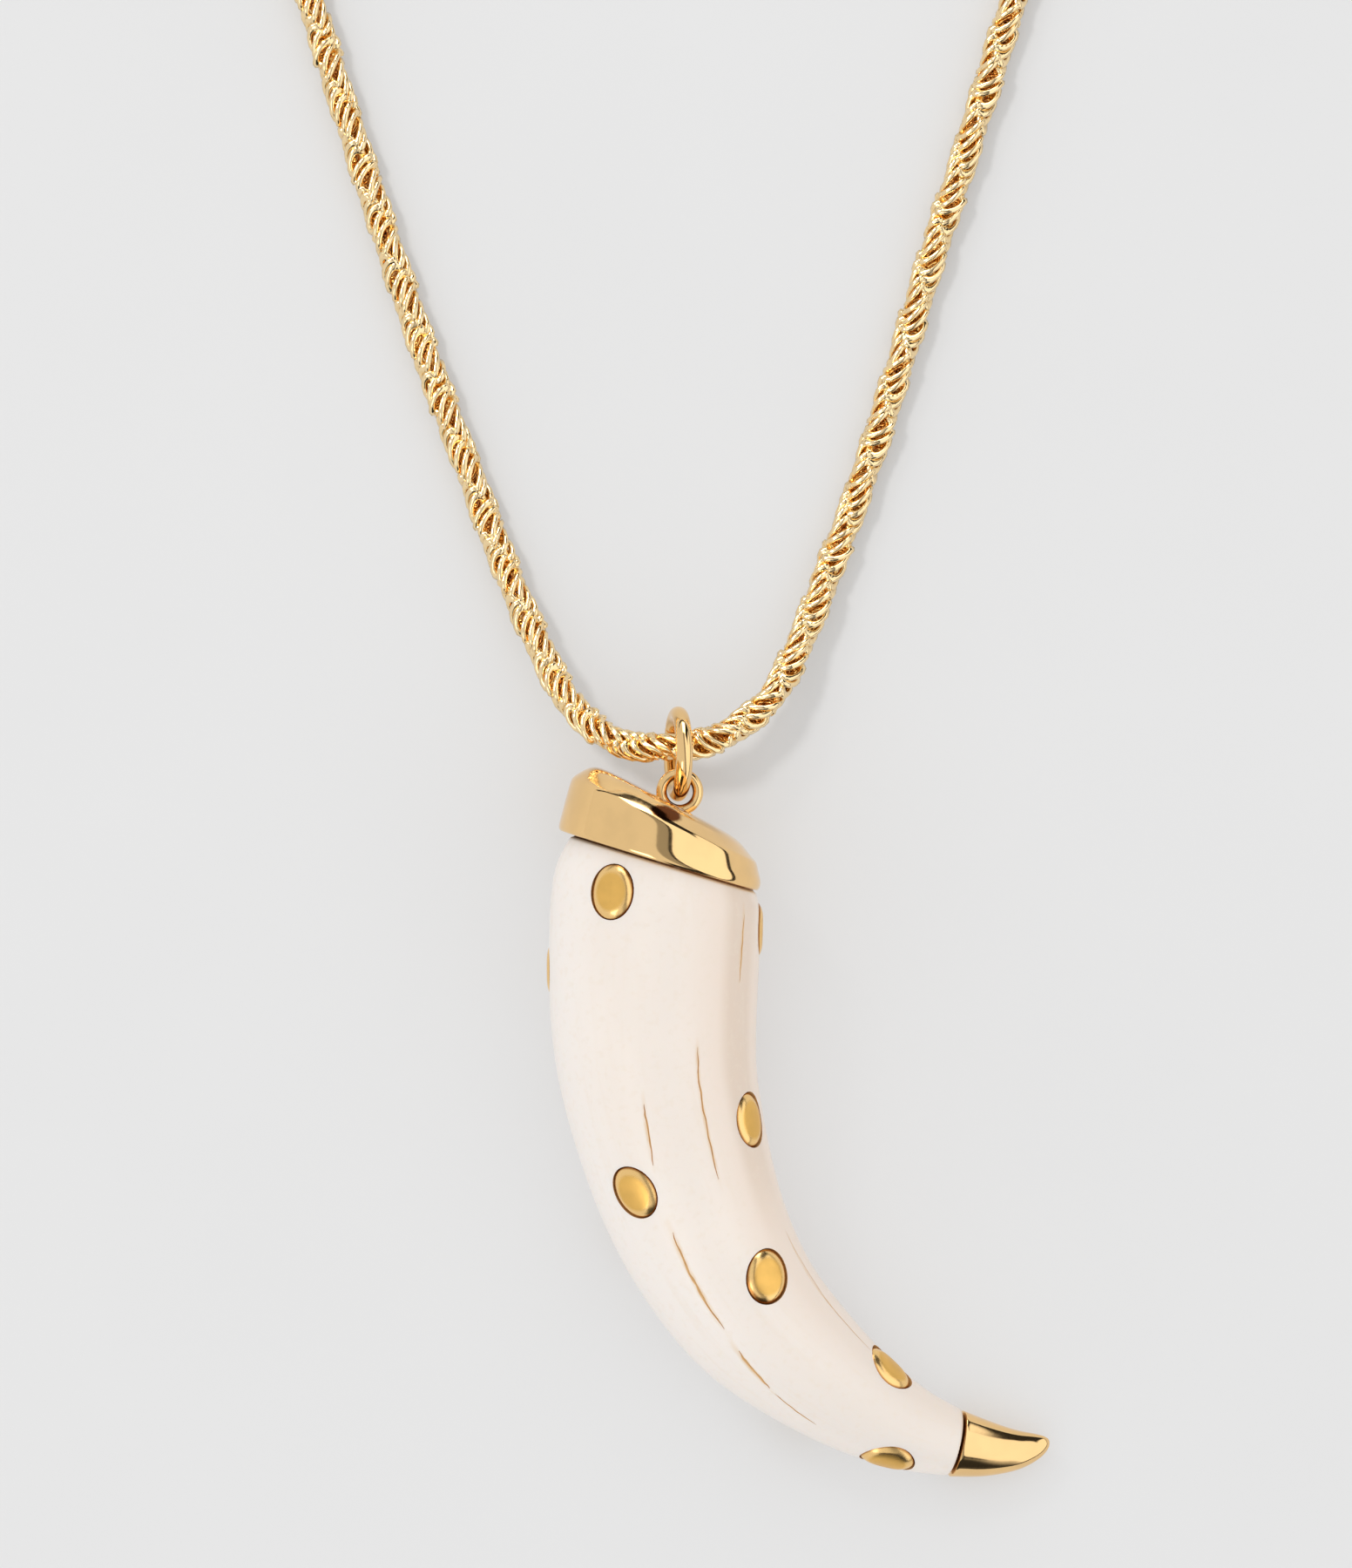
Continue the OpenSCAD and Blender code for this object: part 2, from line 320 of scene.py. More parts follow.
def onlySelected(piece):
    nothingSelected()
    piece.select_set(True)
    bpy.context.view_layer.objects.active = piece


def placeApplied(piece):
    onlySelected(piece)
    bpy.ops.object.transform_apply(location=True, rotation=True, scale=True)


def modified(piece, kind, **settings):
    onlySelected(piece)
    modifier = piece.modifiers.new(kind.title(), kind)
    for key, value in settings.items():
        setattr(modifier, key, value)
    bpy.ops.object.modifier_apply(modifier=modifier.name)


def withoutSlivers(piece):        # clears the thin faces and spare points that a boolean leaves
    thin = 0.005 * mm
    onlySelected(piece)
    bpy.ops.object.mode_set(mode="EDIT")
    bpy.ops.mesh.select_all(action="SELECT")
    bpy.ops.mesh.remove_doubles(threshold=thin)
    bpy.ops.mesh.dissolve_degenerate(threshold=thin)
    bpy.ops.mesh.select_all(action="DESELECT")
    bpy.ops.mesh.select_mode(type="VERT")
    bpy.ops.object.mode_set(mode="OBJECT")
    edgesAt = [0] * len(piece.data.vertices)
    for edge in piece.data.edges:
        for i in edge.vertices:
            edgesAt[i] += 1
    for v in piece.data.vertices:
        v.select = edgesAt[v.index] == 2        # a point in the middle of one straight edge
    bpy.ops.object.mode_set(mode="EDIT")
    bpy.ops.mesh.dissolve_verts()
    bpy.ops.object.mode_set(mode="OBJECT")


def smoothed(piece, degrees):
    onlySelected(piece)
    bpy.ops.object.shade_smooth_by_angle(angle=math.radians(degrees))


def given(piece, look):
    piece.data.materials.clear()
    piece.data.materials.append(look)


def stands(piece, slotName, *nodes):
    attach(piece, "root")
    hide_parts(*nodes)


def between(table, place):        # values on the smooth curve through a table's rows
    def row(i):
        return table[max(0, min(len(table) - 1, i))]
    i = math.floor(place)
    u = place - i
    a, b, c, d = row(i - 1), row(i), row(i + 1), row(i + 2)
    return [q + u * (r - p) / 2 + u * u * (p - 2.5 * q + 2 * r - s / 2)
            + u ** 3 * (1.5 * (q - r) + (s - p) / 2) for p, q, r, s in zip(a, b, c, d)]


def turned(turn, dip):        # across a section, towards its front, and along the piece
    t, d = math.radians(turn), math.radians(dip)
    across = Vector((math.cos(t), math.sin(t), 0))
    front = Vector((math.sin(t) * math.sin(d), -math.cos(t) * math.sin(d), math.cos(d)))
    return Matrix((across, front, across.cross(front))).transposed()


# A closed piece through rings, each with its middle in mm, its frame, half width and half depth.
# A corner over 2 squares one front quarter of each ring
def ringedPiece(name, rings, points, corner=2):
    circles = []
    for middle, direction, wide, deep in rings:
        nothingSelected()
        bpy.ops.mesh.primitive_circle_add(vertices=points, radius=1, location=middle * mm,
                                          rotation=direction.to_euler())
        circle = bpy.context.object
        for v in circle.data.vertices:
            if v.co.x > 0 and v.co.y > 0:
                v.co.x **= 2 / corner
                v.co.y **= 2 / corner
        circle.scale = (wide * mm, deep * mm, 1)
        circles.append(circle)
    for circle in circles:
        circle.select_set(True)
    bpy.ops.object.transform_apply(location=True, rotation=True, scale=True)
    bpy.context.view_layer.objects.active = circles[0]
    bpy.ops.object.join()
    piece = bpy.context.object
    piece.name = name
    bpy.ops.object.mode_set(mode="EDIT")
    bpy.ops.mesh.select_all(action="SELECT")
    bpy.ops.mesh.bridge_edge_loops()
    bpy.ops.mesh.select_all(action="DESELECT")
    bpy.ops.mesh.select_non_manifold(extend=False, use_wire=False, use_boundary=True,
                                     use_multi_face=False, use_non_contiguous=False, use_verts=False)
    bpy.ops.mesh.edge_face_add()
    bpy.ops.mesh.select_all(action="SELECT")
    bpy.ops.mesh.normals_make_consistent(inside=False)
    bpy.ops.object.mode_set(mode="OBJECT")
    return piece


# Chain: two twisted strands of oval links, laid along the route of the CAD tube
rope = {
    "turn": 12.0,           # length of a full turn of a strand
    "linksPerTurn": 15,
    "turnsInPart": 3,       # full turns in the part that repeats
    "strandOut": 0.59,      # from the middle of the rope to the middle of a strand
    "linkDeep": 0.64,       # half depth of a link
    "linkWide": 0.76,       # half width of a link across the strand
    "lean": 52,             # lean of the links along the rope
    "tip": 32,              # how far each link lies down on the next
    "wire": 0.32,           # half thickness of the wire
    "linkSteps": 12, "wireSteps": 6,
    "unevenAlong": 0.12,    # share of the step from one link to the next
    "unevenLean": 13,       # in degrees
    "unevenOut": 0.07,
    "partsEach": (6, 5, 6),         # parts in each of the three pieces
    "stepsEach": 5,         # steps of the route between two rows of its table
    "lowest": 1.62,         # lowest height of the rope's middle, which keeps its links off the floor
}
# Middle of the rope at each point, in mm
chainRoute = [
    (3.2, 158, 2.5), (9, 158, 2.5), (18, 157.6, 1.8), (30, 154.9, 1.5), (42.5, 149.5, 1.5),
    (54, 141.5, 1.5), (63, 131, 1.5), (69, 118, 1.5), (71, 104, 1.5), (69.5, 90, 1.5),
    (66, 76, 1.5), (61.4, 62, 1.5), (56.2, 48, 1.5), (51, 34, 1.5), (46, 20, 1.5),
    (41, 6, 1.5), (36.7, -8, 1.5), (32.7, -21, 1.5), (29.1, -32.5, 1.5), (26, -42, 1.5),
    (23, -52, 1.5), (19.8, -62, 1.5), (16.5, -71, 2), (13.7, -78, 3.1), (11, -83.4, 4.6),
    (7.5, -86.8, 5.9), (3.5, -88.6, 6.8), (0, -88.9, 6.9), (-3.5, -88.7, 6.5),
    (-7, -86.8, 5.5), (-9.8, -83.6, 4.3), (-12.6, -78, 2.9), (-15.6, -71, 1.9),
    (-19, -62, 1.5), (-22.8, -52, 1.5), (-26.2, -42, 1.5), (-29.3, -32.5, 1.5),
    (-33, -21, 1.5), (-36.9, -8, 1.5), (-41, 6, 1.5), (-46, 20, 1.5), (-51, 34, 1.5),
    (-56.2, 48, 1.5), (-61.4, 62, 1.5), (-66, 76, 1.5), (-69.5, 90, 1.5), (-71, 104, 1.5),
    (-69, 118, 1.5), (-63, 131, 1.5), (-54, 141.5, 1.5), (-42.5, 149.5, 1.5),
    (-30, 154.9, 1.5), (-18, 157.6, 1.8), (-9, 158, 2.5), (-3.2, 158, 2.5),
]


def addRouteCurve():
    steps = rope["stepsEach"] * (len(chainRoute) - 1)
    places = [Vector(between(chainRoute, i / rope["stepsEach"])) for i in range(steps + 1)]
    for p in places:
        p.z = max(p.z, rope["lowest"])
    length = sum((b - a).length for a, b in zip(places, places[1:]))
    data = bpy.data.curves.new("chainRoute", "CURVE")
    data.dimensions = "3D"
    data.twist_mode = "Z_UP"
    line = data.splines.new("POLY")
    line.points.add(len(places) - 1)
    for point, p in zip(line.points, places):
        point.co = (*(p * mm), 1)
    curve = bpy.data.objects.new("chainRoute", data)
    bpy.context.collection.objects.link(curve)
    return curve, length


def addRopePart():
    nothingSelected()
    bpy.ops.mesh.primitive_torus_add(
        major_segments=rope["linkSteps"], minor_segments=rope["wireSteps"],
        major_radius=rope["linkDeep"] * mm, minor_radius=rope["wire"] * mm)
    link = bpy.context.object
    lean = math.radians(rope["lean"])
    widened = rope["linkWide"] / math.cos(lean) / rope["linkDeep"]
    link.scale = (1, widened, 1)
    placeApplied(link)
    count = rope["linksPerTurn"] * rope["turnsInPart"]
    step = rope["turn"] / rope["linksPerTurn"]
    along, leaning, outward = rope["unevenAlong"], rope["unevenLean"], rope["unevenOut"]
    copies = []
    for strand in range(2):
        for i in range(count):
            x = (i + 0.5 * strand + random.uniform(-along, along)) * step
            angle = math.pi * strand - math.tau * x / rope["turn"]
            out = Vector((0, math.cos(angle), math.sin(angle)))
            onward = Vector((0, -math.sin(angle), math.cos(angle)))
            tilt = lean + math.radians(random.uniform(-leaning, leaning))
            wide = onward * math.cos(tilt) + Vector((math.sin(tilt), 0, 0))
            tip = math.radians(rope["tip"] + random.uniform(-leaning, leaning))
            deep = out * math.cos(tip) + out.cross(wide) * math.sin(tip)
            frameOf = Matrix((deep, wide, deep.cross(wide))).transposed().to_4x4()
            away = rope["strandOut"] + random.uniform(-outward, outward)
            centre = Vector((x, 0, 0)) + out * away
            copy = link.copy()
            copy.data = link.data.copy()
            copy.matrix_world = Matrix.Translation(centre * mm) @ frameOf
            bpy.context.collection.objects.link(copy)
            copies.append(copy)
    nothingSelected()
    for copy in copies:
        copy.select_set(True)
    bpy.context.view_layer.objects.active = copies[0]
    bpy.ops.object.join()
    part = bpy.context.object
    placeApplied(part)
    bpy.data.objects.remove(link)
    marks = part.data.attributes.new("fromMiddle", "FLOAT", "POINT")
    for v in part.data.vertices:
        marks.data[v.index].value = math.hypot(v.co.y, v.co.z) / mm
    return part


ropeGroup = bpy.data.collections.new("rope")


def addChain():
    curve, length = addRouteCurve()
    part = addRopePart()
    partLength = rope["turn"] * rope["turnsInPart"]
    print("chain route", round(length, 1), "mm, laid", partLength * sum(rope["partsEach"]), "mm")
    start = 0
    for i, parts in enumerate(rope["partsEach"]):
        piece = part.copy()
        piece.data = part.data.copy()
        piece.name = "chain_links_" + str(i + 1)
        bpy.context.collection.objects.link(piece)
        piece.data.transform(Matrix.Translation((start * partLength * mm, 0, 0)))
        modified(piece, "ARRAY", count=parts, use_relative_offset=False, use_constant_offset=True,
                 constant_offset_displace=(partLength * mm, 0, 0))
        modified(piece, "CURVE", object=curve, deform_axis="POS_X")
        smoothed(piece, 180)
        given(piece, chainGold)
        stands(piece, "gold_chain", "chain")
        ropeGroup.objects.link(piece)
        start += parts
    bpy.data.objects.remove(part)
    bpy.data.objects.remove(curve)


addChain()
print("chain laid")


# Cap's place on the horn, where the horn's brown joint line is too
cap = {
    "turn": -17,            # slant of its rim, in degrees
    "at": hang + Vector((-2.5, -11.5, 9)),          # middle of its rim
    "metal": 0.9,
    "hollowRows": (4, 8, 12, 15),       # rows of its rings that its hollow follows
    "hollowBelow": 2,       # how far below the first of them the cutter starts
    "points": 64,
    "eyeAt": hang + Vector((-0.4, -4.75, 9)),
    "eyeOut": 1.78,         # from the middle of the eye to the middle of its wire
    "eyeWire": 0.52,        # half thickness of that wire
    "eyeSteps": 72, "eyeWireSteps": 24,
}


# Horn
horn = {
    "depth": 0.87,          # front to back, as a part of the width
    "points": 48,
    "rings": 67,
    "topEdge": ((0.6, -1.4), (0.45, -0.4), (0.3, -0.04)),        # inset and height of the rounded top
    "crackDeep": 0.16,
    "crackSteps": 5,        # steps between two points of a crack
    "crackWander": 0.5,     # in degrees
    "markSteps": 220,       # steps along the horn at which its material finds its place
}
# Middle of each section in mm from the ring, half width, turn, dip
hornSections = [
    (-2, -11.85, 9, 9.45, -17, 0), (-2.6, -14.8, 9, 10.3, -12, 0), (-2.9, -20.5, 9, 10.3, -5, 1),
    (-2.9, -28, 8.9, 10, 2, 2), (-2.1, -34.5, 8.6, 9.5, 12, 3), (0.2, -43, 8.2, 8.9, 23, 4),
    (3.2, -50, 7.6, 8.2, 34, 6), (7.3, -56.2, 6.9, 7.4, 45, 8), (12.5, -61, 6, 6.3, 53, 9),
    (17.7, -64.8, 5, 5.15, 60, 10), (22.5, -67.35, 4, 4.1, 68, 11), (26.7, -68.7, 3.1, 3.3, 78, 12),
]
# Place along the horn in sections, angle round it from the front, turn of the oval, direction of
# its side with painted shade and how far that painted shade comes over it
studPlaces = [
    (1.1, -25.5, 4, 25, 0.1), (4.8, -33.5, 15, 45, 0.12), (4.5, 60, -10, 200, 0.22),
    (6.5, 25, -38, 235, 0.26), (9, 66, 0, 225, 0.22), (9.7, -60, 15, 80, 0.12),
    (1.35, 92, 0, 180, 0.3), (2.3, -98, 0, 0, 0.2), (3.2, 150, 0, 0, 0.1),
    (5.3, -140, 0, 0, 0.1), (7.2, 160, 0, 0, 0.1), (8.4, -125, 0, 0, 0.1),
]


def sectionRing(section, inset=0, shift=0):
    x, y, z, wide, turn, dip = section
    direction = turned(turn, dip)
    middle = hang + Vector((x, y, z)) + direction @ Vector((0, 0, shift))
    return middle, direction, wide - inset, wide * horn["depth"] - inset


def surfacePoint(place, degrees):        # in mm
    middle, direction, wide, deep = sectionRing(between(hornSections, place))
    a = math.radians(degrees)
    return middle + direction @ Vector((wide * math.sin(a), deep * math.cos(a), 0))


def onHorn(place, degrees):        # spot on the surface, and the frame there: right, ahead, out
    ahead = (surfacePoint(place + 0.05, degrees) - surfacePoint(place - 0.05, degrees)).normalized()
    around = surfacePoint(place, degrees + 1) - surfacePoint(place, degrees - 1)
    out = ahead.cross(around).normalized()
    return surfacePoint(place, degrees), Matrix((ahead.cross(out), ahead, out)).transposed()


def addHorn():
    last = len(hornSections) - 1
    filled = [between(hornSections, last * i / (horn["rings"] - 1)) for i in range(horn["rings"])]
    top = [sectionRing(filled[0], inset, shift) for inset, shift in horn["topEdge"]]
    piece = ringedPiece("horn_body", top + [sectionRing(s) for s in filled], horn["points"])
    modified(piece, "SUBSURF", levels=1, render_levels=1)
    return piece


def addCrackBlade(half, points):        # a thin blade along the surface, narrower at its ends
    rings = []
    wander = horn["crackWander"]
    count = horn["crackSteps"] * (len(points) - 1)
    for i in range(count + 1):
        place, degrees = between(points, i / horn["crackSteps"])
        spot, frameOf = onHorn(place, degrees + random.uniform(-wander, wander))
        right, ahead, out = frameOf.transposed()
        fromEnd = min(i, count - i) / count
        wide = half * min(1, 0.25 + 3 * fromEnd) * random.uniform(0.7, 1.2)
        across = Matrix((right, out, right.cross(out))).transposed()
        rings.append((spot, across, wide, horn["crackDeep"]))
    blade = ringedPiece("crack_blade", rings, 4)
    given(blade, crackLook)
    return blade


hornBody = addHorn()
given(hornBody, ivoryLook)
for half, *points in cracks:
    blade = addCrackBlade(half, points)
    modified(hornBody, "BOOLEAN", operation="DIFFERENCE", object=blade, solver="EXACT",
             material_mode="TRANSFER")
    bpy.data.objects.remove(blade)
print("horn made")


# Studs: domed ovals in recesses
stud = {
    "wide": 4.3, "long": 5.3, "in": 1.0,
    "gap": 0.1,             # groove round a stud
    "under": 0.05,          # room under it
    "edge": 0.85,           # width of the rounded edge, and how far it comes down
    "drop": 0.36,
    "rim": -0.24,           # height of the rim over the horn's surface
    "crown": 0.1,           # how far the middle stands over the rounded edge
    "steps": 40,
    "insets": (0.12,) * 5 + (0.3,) * 4,
}


def ovalShare(x, y):        # 0 in the middle of a stud, 1 on its rim
    return math.hypot(x / stud["wide"], y / stud["long"]) * 2 / mm


def ovalBlock(name, wide, long, low, high):        # upright oval block, its top face left selected
    nothingSelected()
    bpy.ops.mesh.primitive_circle_add(
        vertices=stud["steps"], radius=1, fill_type="NGON", location=(0, 0, low * mm))
    block = bpy.context.object
    block.name = name
    block.scale = (wide / 2 * mm, long / 2 * mm, 1)
    placeApplied(block)
    bpy.ops.object.mode_set(mode="EDIT")
    bpy.ops.mesh.select_all(action="SELECT")
    bpy.ops.mesh.extrude_region_move(TRANSFORM_OT_translate={"value": (0, 0, (high - low) * mm)})
    return block


def surfaceBend(place, degrees):        # radius of the horn's section at a spot, in mm
    wide = between(hornSections, place)[3]
    deep = wide * horn["depth"]
    a = math.radians(degrees)
    return ((wide * math.cos(a)) ** 2 + (deep * math.sin(a)) ** 2) ** 1.5 / (wide * deep)


def addStud(i, place, degrees, turn, darkSide, darkWide):
    spot, frameOf = onHorn(place, degrees)
    whole = Matrix.Translation(spot * mm) @ frameOf.to_4x4()
    turnBack = Matrix.Rotation(math.radians(turn), 4, "Z")
    name = "stud_oval_" + str(i + 1)
    piece = ovalBlock(name, stud["wide"], stud["long"], -stud["in"], stud["rim"] / 2)
    for inset in stud["insets"]:
        bpy.ops.mesh.inset(thickness=inset * mm)
    bpy.ops.mesh.poke()
    bpy.ops.object.mode_set(mode="OBJECT")
    points = piece.data.vertices
    face = [k for k, v in enumerate(points) if v.co.z > -stud["in"] / 2 * mm]
    for k in face:        # flat in the middle, rounded at the rim
        r = min(1, ovalShare(points[k].co.x, points[k].co.y))
        fromEdge = (1 - r) * stud["wide"] / 2
        rise = stud["drop"] * (1 - (1 - min(1, fromEdge / stud["edge"])) ** 2)
        points[k].co.z = (stud["rim"] + rise + stud["crown"] * (1 - r * r)) * mm
    a = math.radians(darkSide)
    upwards = 1 if 80 < abs(degrees) < 100 else 0        # a stud seen edge-on
    dark = Vector((math.cos(a), math.sin(a), upwards))
    dark = turnBack.to_3x3().inverted() @ frameOf.transposed() @ dark
    shift = dark * darkWide * mm
    marks = piece.data.attributes.new("fromCentre", "FLOAT_VECTOR", "POINT")
    for v in points:        # away from the stud's middle, and from a middle shifted away from its painted shade
        marks.data[v.index].vector = (
            ovalShare(v.co.x, v.co.y), ovalShare(v.co.x + shift.x, v.co.y + shift.y), 0)
    piece.data.transform(turnBack)
    bend = surfaceBend(place, degrees)
    for k in face:        # bent as the horn is
        points[k].co.z -= points[k].co.x ** 2 / (2 * bend * mm)
    piece.data.transform(whole)
    piece.data.update()
    smoothed(piece, 50)
    given(piece, studGold)
    stands(piece, "gold_satin", "stud_" + str(i + 1))

    room = 2 * stud["gap"]
    floorOfRecess = -stud["in"] - stud["under"]
    cutter = ovalBlock("stud_recess", stud["wide"] + room, stud["long"] + room, floorOfRecess, 2)
    bpy.ops.object.mode_set(mode="OBJECT")
    cutter.data.transform(whole @ turnBack)
    given(cutter, recessShadeLook)
    return cutter


for i, placing in enumerate(studPlaces):
    cutter = addStud(i, *placing)
    modified(hornBody, "BOOLEAN", operation="DIFFERENCE", object=cutter, solver="EXACT",
             material_mode="TRANSFER")
    bpy.data.objects.remove(cutter)
print("studs set")


def markJoints(piece):        # distance in mm to the plane of the cap's rim or of the tip's joint
    rimAway = turned(cap["turn"], 0) @ Vector((0, 0, 1))
    tipMiddle, direction = sectionRing(hornSections[-1])[:2]
    tipAway = direction @ Vector((0, 0, -1))
    marks = piece.data.attributes.new("toJoint", "FLOAT", "POINT")
    for v in piece.data.vertices:
        spot = v.co / mm
        toRim = (spot - cap["at"]).dot(rimAway)
        toTip = (spot - tipMiddle).dot(tipAway)
        marks.data[v.index].value = min(toRim, toTip)


def markHornPlaces(piece):        # place along the horn, and where each point is round it
    samples = []
    last = len(hornSections) - 1
    for i in range(horn["markSteps"] + 1):
        place = last * i / horn["markSteps"]
        middle, direction, wide, deep = sectionRing(between(hornSections, place))
        samples.append((middle * mm, place, direction.transposed(), wide * mm, deep * mm))
    marks = piece.data.attributes.new("hornPlace", "FLOAT_VECTOR", "POINT")
    for v in piece.data.vertices:
        nearest = min(samples, key=lambda sample: (v.co - sample[0]).length_squared)
        middle, place, axes, wide, deep = nearest
        offset = v.co - middle
        marks.data[v.index].vector = (
            place, offset.dot(axes[0]) / wide, offset.dot(axes[1]) / deep)


markJoints(hornBody)
markHornPlaces(hornBody)
smoothed(hornBody, 35)
stands(hornBody, "ivory_resin", "horn")


# Cap: a ring in each row, from the rim up: shift sideways, height, half width, slant
capRings = [
    (0, 0, 9.95, 0), (0, 0.08, 10.08, 0), (0, 0.2, 10.18, 0), (-0.02, 0.38, 10.25, 0),
    (-0.04, 0.7, 10.28, 0), (-0.1, 1.2, 10.24, 0.8), (-0.18, 1.6, 10.19, 1.7),
    (-0.3, 2.2, 10.12, 3.2), (-0.49, 3.2, 10, 5.6), (-0.58, 3.7, 9.94, 6.8), (-0.62, 3.95, 9.87, 7.4),
    (-0.66, 4.15, 9.72, 7.9), (-0.69, 4.35, 9.5, 8.4), (-0.72, 4.65, 9.17, 9),
    (-0.76, 5, 8.78, 9.6), (-0.79, 5.35, 8.3, 10.2), (-0.8, 5.58, 7.8, 10.5),
    (-0.8, 5.74, 7.1, 10.5), (-0.8, 5.82, 6, 10.5), (-0.8, 5.85, 4, 10.5),
]


def capRing(row, inset=0, down=0):
    shift, height, wide, slant = row
    rim = turned(cap["turn"], 0)
    middle = cap["at"] + rim @ Vector((shift, 0, -(height - down)))
    return middle, turned(cap["turn"] - slant, 0), wide - inset, wide * horn["depth"] - inset


def addCap():
    shell = ringedPiece("cap_shell", [capRing(r) for r in capRings], cap["points"])
    modified(shell, "SUBSURF", levels=1, render_levels=1)
    rows = [capRings[i] for i in cap["hollowRows"]]
    inner = [capRing(rows[0], cap["metal"], cap["hollowBelow"])]
    inner += [capRing(row, cap["metal"], cap["metal"]) for row in rows]
    core = ringedPiece("cap_core", inner, cap["points"])
    modified(shell, "BOOLEAN", operation="DIFFERENCE", object=core, solver="EXACT")
    bpy.data.objects.remove(core)
    nothingSelected()
    bpy.ops.mesh.primitive_torus_add(
        major_segments=cap["eyeSteps"], minor_segments=cap["eyeWireSteps"],
        major_radius=cap["eyeOut"] * mm, minor_radius=cap["eyeWire"] * mm,
        location=cap["eyeAt"] * mm)
    eye = bpy.context.object
    placeApplied(eye)
    modified(shell, "BOOLEAN", operation="UNION", object=eye, solver="EXACT")
    bpy.data.objects.remove(eye)
    withoutSlivers(shell)
    smoothed(shell, 40)
    given(shell, capGold)
    stands(shell, "gold_polished", "cap")


addCap()
print("cap made")


# Tip: its sections have the columns of the horn's
tip = {
    "points": 48,
    "steps": 24,
    "corner": 2.8,          # how square its upper front is
    "openEdge": ((0.3, 0), (0.05, 0), (0, 0.06)),        # inset and height of the edge at the horn
}
tipSections = [
    (26.75, -68.75, 3.08, 3.32, 78, 12), (29.3, -69.2, 2.65, 2.86, 86, 8),
    (31.5, -69.4, 2.4, 2.33, 92, 5), (33.2, -69.35, 2.3, 1.84, 99, 2),
    (34.75, -69, 2.25, 1.24, 108, 0), (35.6, -68.65, 2.25, 0.65, 115, 0),
    (35.9, -68.5, 2.25, 0.15, 115, 0),
]


def addTip():
    last = len(tipSections) - 1
    steps = tip["steps"]
    end = [sectionRing(tipSections[0], inset, shift) for inset, shift in tip["openEdge"]]
    rest = [sectionRing(between(tipSections, last * i / steps)) for i in range(1, steps + 1)]
    piece = ringedPiece("tip_claw", end + rest, tip["points"], tip["corner"])
    modified(piece, "SUBSURF", levels=1, render_levels=1)
    smoothed(piece, 40)
    given(piece, bodyGold)
    stands(piece, "gold_polished", "tip_cap")


addTip()
print("tip made")


# Jump ring: a round wire bent round, its two ends nearly touching at the lower back
jumpRing = {
    "at": hang + Vector((-0.55, -1.05, 7.6)), "outer": 9.3, "wire": 1.65,
    "lean": 9, "open": 1.5, "openAt": 40,       # in degrees
    "wireSteps": 28, "steps": 96, "endEdge": 0.12,
}


def addJumpRing():
    nothingSelected()
    half = jumpRing["wire"] / 2
    bpy.ops.mesh.primitive_circle_add(
        vertices=jumpRing["wireSteps"], radius=half * mm, fill_type="NGON",
        location=((jumpRing["outer"] / 2 - half) * mm, 0, 0), rotation=(math.pi / 2, 0, 0))
    piece = bpy.context.object
    piece.name = "jump_ring_wire"
    placeApplied(piece)
    bpy.ops.object.mode_set(mode="EDIT")
    bpy.ops.mesh.select_all(action="SELECT")
    bpy.ops.mesh.spin(steps=jumpRing["steps"], angle=math.radians(360 - jumpRing["open"]),
                      center=(0, 0, 0), axis=(0, 0, 1))
    bpy.ops.mesh.select_all(action="SELECT")
    bpy.ops.mesh.normals_make_consistent(inside=False)
    bpy.ops.object.mode_set(mode="OBJECT")
    modified(piece, "BEVEL", width=jumpRing["endEdge"] * mm, segments=2, limit_method="ANGLE",
             angle_limit=math.radians(60))
    turnToOpen = Matrix.Rotation(math.radians(jumpRing["openAt"]), 4, "Z")
    stand = Matrix.Rotation(math.radians(90 + jumpRing["lean"]), 4, "Y")
    piece.data.transform(Matrix.Translation(jumpRing["at"] * mm) @ stand @ turnToOpen)
    smoothed(piece, 40)
    given(piece, bodyGold)
    stands(piece, "gold_polished", "jump_ring")


addJumpRing()


# Clasp: a plain barrel with a hole in each end for the chain
clasp = {"long": 14, "wide": 5, "hole": 3.3, "deep": 4, "edge": 0.25, "steps": 64}


def addClasp():
    nothingSelected()
    bpy.ops.mesh.primitive_cylinder_add(
        vertices=clasp["steps"], radius=clasp["wide"] / 2 * mm, depth=clasp["long"] * mm,
        location=(0, chainRoute[0][1] * mm, clasp["wide"] / 2 * mm), rotation=(0, math.pi / 2, 0))
    piece = bpy.context.object
    piece.name = "clasp_barrel"
    placeApplied(piece)
    bpy.ops.object.mode_set(mode="EDIT")
    for end in (-1, 1):
        inwards = (-end * clasp["deep"] * mm, 0, 0)
        bpy.ops.mesh.select_all(action="DESELECT")
        bpy.ops.object.mode_set(mode="OBJECT")
        for face in piece.data.polygons:
            face.select = face.normal.x * end > 0.9
        bpy.ops.object.mode_set(mode="EDIT")
        bpy.ops.mesh.inset(thickness=(clasp["wide"] - clasp["hole"]) / 2 * mm)
        bpy.ops.mesh.extrude_region_move(TRANSFORM_OT_translate={"value": inwards})
    bpy.ops.object.mode_set(mode="OBJECT")
    modified(piece, "BEVEL", width=clasp["edge"] * mm, segments=3, limit_method="ANGLE",
             angle_limit=math.radians(40))
    smoothed(piece, 40)
    given(piece, bodyGold)
    stands(piece, "gold_polished", "clasp")


addClasp()
print("ring and clasp made")


